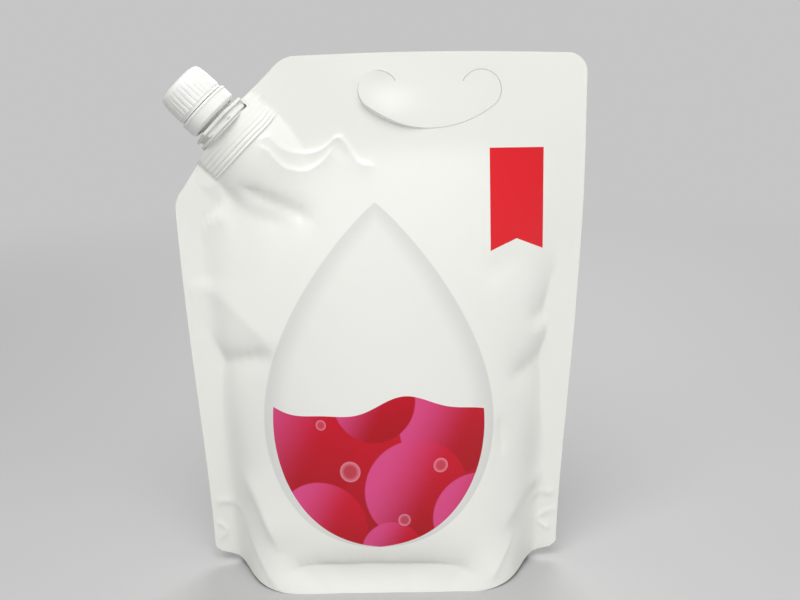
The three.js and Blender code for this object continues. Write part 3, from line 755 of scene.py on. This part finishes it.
film_finish = Finish("film")
x, y, z = film_finish.place()
on_front = film_finish.inside(0 - y)
off_middle = abs(x - ribbon_middle)
tails = ribbon_notch - off_middle * ((ribbon_notch - ribbon_tips) / ribbon_half)
ribbon = (
    film_finish.inside(ribbon_half - off_middle)
    * film_finish.inside(ribbon_top - z)
    * film_finish.inside(z - tails)
    * on_front
)
rise = film_finish.node("ShaderNodeClamp", {}, {"Value": (z - drop_low) / (drop_high - drop_low)})
drop_width = rise**drop_sharp * (1 - rise) ** drop_full * (drop_half / drop_peak)
within = drop_width - abs(x - drop_middle)
drop = film_finish.inside(within - drop_blur, drop_blur) * on_front
rim = film_finish.ease(within, 0.0, rim_width)
long_wave = film_finish.math("SINE", x * 0.07 + 0.6) * filling_long
short_wave = film_finish.math("SINE", x * 0.16) * filling_short
surface = long_wave + short_wave + filling_top
filled = film_finish.inside(within - filling_inset) * film_finish.inside(surface - z) * on_front
waves = film_finish.mix(film_finish.ease(z, 30, 100), wave_dark, wave_crimson)
for petal_x, petal_z, radius in petals:
    right, up = x - petal_x, z - petal_z
    away = film_finish.math("SQRT", right**2 + up**2)
    across = film_finish.ease(right - up * 0.5, -radius, radius * 0.4)
    shaded = film_finish.mix(film_finish.ease(up, -radius, radius), wave_dark, wave_crimson)
    petal = film_finish.mix(across, wave_pink, shaded)
    waves = film_finish.mix(film_finish.inside(radius - away, 0.3), waves, petal)
for bubble_x, bubble_z, radius in bubbles:
    away = film_finish.math("SQRT", (x - bubble_x) ** 2 + (z - bubble_z) ** 2)
    disc = film_finish.inside(radius - away) * (0.10 + 0.4 * film_finish.ease(away, radius * 0.5, radius))
    waves = film_finish.mix(disc, waves, bubble_pale)
colour = film_finish.mix(drop * (1 - rim * rim_fade), film_white, drop_grey)
colour = film_finish.mix(filled, colour, waves)
colour = film_finish.mix(ribbon, colour, ribbon_red)
crinkle = film_finish.noise(26 * mm, 3.0, 0.55) * 0.7 + film_finish.noise(5 * mm, 2.0, 0.5) * 0.12
grain = film_finish.noise(0.9 * mm, 1.0)
normal = film_finish.bump(crinkle, 0.5 * mm, 0.6, under=film_finish.bump(grain, 0.02 * mm, 0.4))
film_finish.set(
    Base_Color=colour,
    Roughness=0.29 + 0.06 * film_finish.noise(14 * mm),
    Normal=normal,
    Specular_IOR_Level=0.35,
    Coat_Weight=0.12,
    Coat_Roughness=0.12,
)
add_piece("pouch_film", film_mesh, film_finish.material, "root", "pouch")

# Spout: one white moulding. Its pointed base is welded between the films; above it come a seat plate, a collar,
# a hexagon flange for the filling line's grip, and the threaded neck with a bead that keeps the tamper band.
bore_radius = 7.2 * mm
neck_radius = 9.4 * mm
seat_plate = (15.2 * mm, 12.6 * mm)
seat_thick = 1.4 * mm
collar_radius = 13.7 * mm
collar_height = 2.2 * mm
grip_across = 30.4 * mm
grip_thick = 1.5 * mm
retainer_radius = 10.8 * mm
retainer_height = 1.6 * mm
retainer_lift = 1.6 * mm
thread_pitch = 3 * mm
thread_turns = 1.5
thread_depth = 1 * mm
thread_width = 1.5 * mm
thread_slope, thread_fade = 0.3, 0.9
thread_drop = 6.5 * mm
band_lift = 1.8 * mm
band_height = 7.4 * mm
band_gap = 0.6 * mm
cap_height = 16 * mm
cap_wall = 1.5 * mm
cap_dome = 0.7 * mm
liner_thick = 1 * mm
seat_top = weld_gap + seat_thick
grip_bottom = seat_top + collar_height
grip_top = grip_bottom + grip_thick
band_bottom = grip_top + band_lift
band_top = band_bottom + band_height
cap_bottom = band_top + band_gap
cap_top = cap_bottom + cap_height
liner_top = cap_top - cap_wall - cap_dome - weld_gap
mouth = liner_top - liner_thick - weld_gap
retainer_bottom = band_bottom + retainer_lift
thread_middle = mouth - thread_drop
base_top = -1.1 * mm
waist = seat_plate[0] - 1 * mm
hair = 0.01 * mm
spout_columns = 288


def rounded(corners, step=0.3 * mm, arc_steps=5):
    """A line through corners given as (radius, height, rounding), each corner replaced by an arc of that
    rounding, and the stretches between them divided into steps."""
    line = []
    for n, (r, h, rounding) in enumerate(corners):
        here = np.array([r, h])
        if rounding == 0 or n in (0, len(corners) - 1):
            line.append(here)
            continue
        before, after = np.array(corners[n - 1][:2]), np.array(corners[n + 1][:2])
        a = (before - here) / np.linalg.norm(before - here)
        b = (after - here) / np.linalg.norm(after - here)
        for t in np.linspace(0, 1, arc_steps):
            line.append(here + rounding * (a * (1 - t) ** 2 + b * t**2))
    points = [line[0][None]]
    for start, end in zip(line, line[1:]):
        count = max(1, math.ceil(np.linalg.norm(end - start) / step))
        points.append(start + (end - start) * np.linspace(0, 1, count + 1)[1:, None])
    return np.concatenate(points)


def hexagon(theta):
    """Radius of a hexagon of corner radius 1, with its corners slightly rounded."""
    sector = (theta % (math.pi / 3)) - math.pi / 6
    return np.minimum(math.cos(math.pi / 6) / np.cos(sector), 0.985)


def oval(theta):
    """Radius of the seat plate's ellipse over its longer half."""
    return seat_plate[1] / np.hypot(seat_plate[1] * np.cos(theta), seat_plate[0] * np.sin(theta))


def boat(theta):
    """Radius of the weld base's pointed oval over its longer half: two circular arcs that meet at the tips."""
    radius = (boat_half**2 + boat_depth**2) / (2 * boat_depth)
    slant = np.abs(np.sin(theta)) * (boat_depth - radius)
    return (slant + np.sqrt(slant**2 + radius**2 - (boat_depth - radius) ** 2)) / boat_half


def thread(theta, height, depth, middle):
    """Height of a right-hand thread over its root: a trapezium section on a helix, faded out at its ends."""
    out = np.zeros(np.broadcast(theta, height).shape)
    for turn in range(math.ceil(thread_turns)):
        angle = theta + 2 * math.pi * turn
        centre = middle + (angle / (2 * math.pi) - thread_turns / 2) * thread_pitch
        section = share((thread_width / 2 - np.abs(height - centre)) / (thread_slope * thread_width))
        fade = share(angle / thread_fade) * share((2 * math.pi * thread_turns - angle) / thread_fade)
        out = np.maximum(out, section * fade)
    return depth * out


def round_axis(theta, radius, height):
    """Places of points given by angle, radius and height about the spout's axis. Angle 0 points up along the
    cut corner."""
    radius, height = np.broadcast_arrays(radius, height)
    flat = radius * np.cos(theta)
    deep = radius * np.sin(theta)
    ahead = flat[..., None] * cut_axis + height[..., None] * spout_axis
    return spout_place + ahead + deep[..., None] * np.array([0, 1, 0])


def from_nearest(theta, radius, count):
    """Distance round the axis from the nearest of a number of equally spaced places, one of them at 90 degrees."""
    half = math.pi / count
    return radius * ((theta + half - math.pi / 2) % (2 * half) - half)


def turned_mesh(name, theta, radius, height):
    """A mesh of a profile carried round the spout's axis. The profile's first and last points meet, or both lie
    on the axis."""
    grid = round_axis(theta, radius, height)
    grid = np.concatenate([grid, grid[:, :1]], axis=1)
    mesh = closed_mesh(name, [grid])
    mesh.set_sharp_from_angle(angle=math.radians(60))
    return mesh


theta = np.linspace(0, 2 * math.pi, spout_columns, endpoint=False)[None, :]
outer = rounded([
    (bore_radius, -boat_height, 0),
    (boat_half, -boat_height, 0.3 * mm),
    (boat_half, base_top, 0.3 * mm),
    (waist, base_top, 0),
    (waist, weld_gap, 0.1 * mm),
    (seat_plate[0], weld_gap, 0.25 * mm),
    (seat_plate[0], seat_top, 0.35 * mm),
    (collar_radius, seat_top, 0.25 * mm),
    (collar_radius, grip_bottom, 0.2 * mm),
    (grip_across / 2, grip_bottom, 0.25 * mm),
    (grip_across / 2, grip_top, 0.35 * mm),
    (neck_radius + 0.6 * mm, grip_top, 0.4 * mm),
    (neck_radius, grip_top + 1 * mm, 0.3 * mm),
    (neck_radius, retainer_bottom, 0.1 * mm),
    (retainer_radius, retainer_bottom + 0.2 * mm, 0.2 * mm),
    (neck_radius, retainer_bottom + retainer_height, 0.2 * mm),
    (neck_radius, mouth, 0.4 * mm),
    (bore_radius, mouth, 0.3 * mm),
    (bore_radius, -boat_height, 0),
], step=0.4 * mm)
radius, height = outer[:, :1], outer[:, 1:]
wide = radius > neck_radius + 1 * mm
on_base = (height < base_top + hair) & (radius > bore_radius + hair)
on_plate = wide & (height >= base_top + hair) & (height < seat_top + hair)
on_grip = wide & (height >= seat_top + hair) & (height <= grip_top + hair)
on_neck = (np.abs(radius - neck_radius) < 2 * hair) & (height > retainer_bottom + retainer_height)
to_hexagon = share((radius - neck_radius - 1 * mm) / (1 * mm))
hexagon_radius = radius + (radius * hexagon(theta) - radius) * to_hexagon
to_boat = share((radius - bore_radius) / (boat_half - bore_radius))
boat_radius = bore_radius + (boat_half * boat(theta) - bore_radius) * to_boat
full = np.where(on_grip, hexagon_radius, np.where(on_plate, radius * oval(theta), radius))
full = np.where(on_base, np.maximum(boat_radius, bore_radius + 0.2 * mm), full)
full = full + on_neck * thread(theta, height, thread_depth, thread_middle)
spout_mesh = turned_mesh("pour_spout", theta, full, height)


def moulded(name, colour):
    """Moulded polyethylene: a soft sheen, faint flow marks and a fine tooled grain."""
    finish = Finish(name)
    shade = finish.noise(9 * mm, 2.0)
    darker = tuple(0.955 * part for part in colour[:3]) + (1,)
    grain = finish.noise(0.35 * mm, 2.0)
    flow_marks = finish.noise(4 * mm, 1.0)
    return finish.set(
        Base_Color=finish.mix(finish.ease(shade, 0.3, 0.7), darker, colour),
        Roughness=0.36 + 0.08 * flow_marks,
        Normal=finish.bump(grain + 2 * flow_marks, 0.02 * mm, 0.6),
        Specular_IOR_Level=0.35,
    )


spout_finish = moulded("spout_plastic", (0.82, 0.825, 0.79, 1))
add_piece("pour_spout", spout_mesh, spout_finish, "root", "spout")

# Tamper band: the ring that stays on the neck when the cap is first opened. It snaps over the neck's bead and
# is moulded with the cap, joined to it by thin bridges.
band_radius = 13.5 * mm
band_bead = 0.25 * mm
band_foot = 1.2 * mm
band_lip = 0.25 * mm
bridge_count = 8
bridge_width, bridge_edge = 1 * mm, 0.25 * mm
bridge_inset, bridge_blend = 0.6 * mm, 0.3 * mm
band_inner = retainer_radius + weld_gap

ring = rounded([
    (band_inner, band_bottom, 0),
    (band_radius - band_foot, band_bottom, 0.3 * mm),
    (band_radius, band_bottom + band_foot, 0.4 * mm),
    (band_radius, band_top - 1.3 * mm, 0.3 * mm),
    (band_radius + band_bead, band_top - 1.0 * mm, 0.15 * mm),
    (band_radius + band_bead, band_top - 0.5 * mm, 0.15 * mm),
    (band_radius - 0.1 * mm, band_top + band_lip, 0.15 * mm),
    (band_inner + bridge_inset, band_top + band_lip, 0.1 * mm),
    (band_inner, retainer_bottom + retainer_height, 0.1 * mm),
    (band_inner, band_bottom, 0),
], step=0.2 * mm)
radius, height = ring[:, :1], ring[:, 1:]
from_bridge = np.abs(from_nearest(theta, radius, bridge_count))
bridge = smooth((bridge_width / 2 - from_bridge) / bridge_edge) * (height > band_top - 2 * hair)
bridge = bridge * smooth((radius - band_inner - bridge_inset) / bridge_blend)
bridge = bridge * smooth((band_radius - radius - bridge_inset) / bridge_blend)
band_mesh = turned_mesh("tamper_ring", theta, radius, height + bridge * (band_gap - weld_gap - band_lip))
cap_finish = moulded("cap_plastic", (0.88, 0.886, 0.85, 1))
add_piece("tamper_ring", band_mesh, cap_finish, "root", "tamper_band")

# Screw cap: a hollow white moulding with a rounded, slightly domed top, thirty grip ribs and its own thread
# inside, by which it screws onto the neck of the spout.
cap_radius = 12.6 * mm
cap_draft = 0.5 * mm
cap_edge = 3.2 * mm
cap_rib_count = 30
cap_rib_height = 0.4 * mm
rib_bottom, rib_bottom_fade = 1.3 * mm, 0.5 * mm
rib_top, rib_top_fade = 1 * mm, 6 * mm
cap_inner = cap_radius - cap_wall
near_wall = 0.5 * mm

shell = rounded([
    (0, cap_top, 0),
    (0.45 * cap_radius, cap_top - 0.25 * cap_dome, 1 * mm),
    (cap_radius - cap_draft, cap_top - cap_dome, cap_edge),
    (cap_radius, cap_bottom, 0.35 * mm),
    (cap_inner, cap_bottom, 0.3 * mm),
    (cap_inner - 0.6 * mm, liner_top + weld_gap, 0.3 * mm),
    (0, liner_top + weld_gap, 0),
], arc_steps=9)
radius, height = shell[:, :1], shell[:, 1:]
theta = np.linspace(0, 2 * math.pi, 16 * cap_rib_count, endpoint=False)[None, :]
outside = radius > cap_inner + near_wall
ribbed = smooth((height - cap_bottom - rib_bottom) / rib_bottom_fade)
ribbed = ribbed * smooth((cap_top - cap_dome - rib_top - height) / rib_top_fade)
half_pitch = math.pi * cap_radius / cap_rib_count
from_rib = from_nearest(theta, cap_radius, cap_rib_count)
crest = np.sqrt(np.maximum(0, 1 - (from_rib / half_pitch) ** 2))
inside_thread = (np.abs(radius - cap_inner) < near_wall) & (height < mouth)
full = radius + outside * ribbed * crest * cap_rib_height
full = full - inside_thread * thread(theta, height, thread_depth, thread_middle - thread_pitch / 2)
add_piece("cap_shell", turned_mesh("cap_shell", theta, full, height), cap_finish, "cap", "screw_cap")

# Liner: a disc of pressed foam. It lies loose in the top of the cap, slides with it and seals the mouth of the
# spout.
liner_radius = cap_inner - 1 * mm

disc = rounded([
    (0, liner_top - liner_thick, 0),
    (liner_radius, liner_top - liner_thick, 0.2 * mm),
    (liner_radius, liner_top, 0.2 * mm),
    (0, liner_top, 0),
])
radius, height = disc[:, :1], disc[:, 1:]
theta = np.linspace(0, 2 * math.pi, 180, endpoint=False)[None, :]
liner_finish = Finish("liner_foam")
cells = liner_finish.noise(0.5 * mm, 2.0)
liner_finish.set(
    Base_Color=liner_finish.mix(liner_finish.ease(cells, 0.3, 0.7), (0.70, 0.71, 0.72, 1), (0.80, 0.81, 0.82, 1)),
    Roughness=0.7,
    Normal=liner_finish.bump(cells, 0.05 * mm, 0.5),
)
liner_mesh = turned_mesh("foam_liner", theta, radius, height)
add_piece("foam_liner", liner_mesh, liner_finish.material, "liner", "cap_liner")
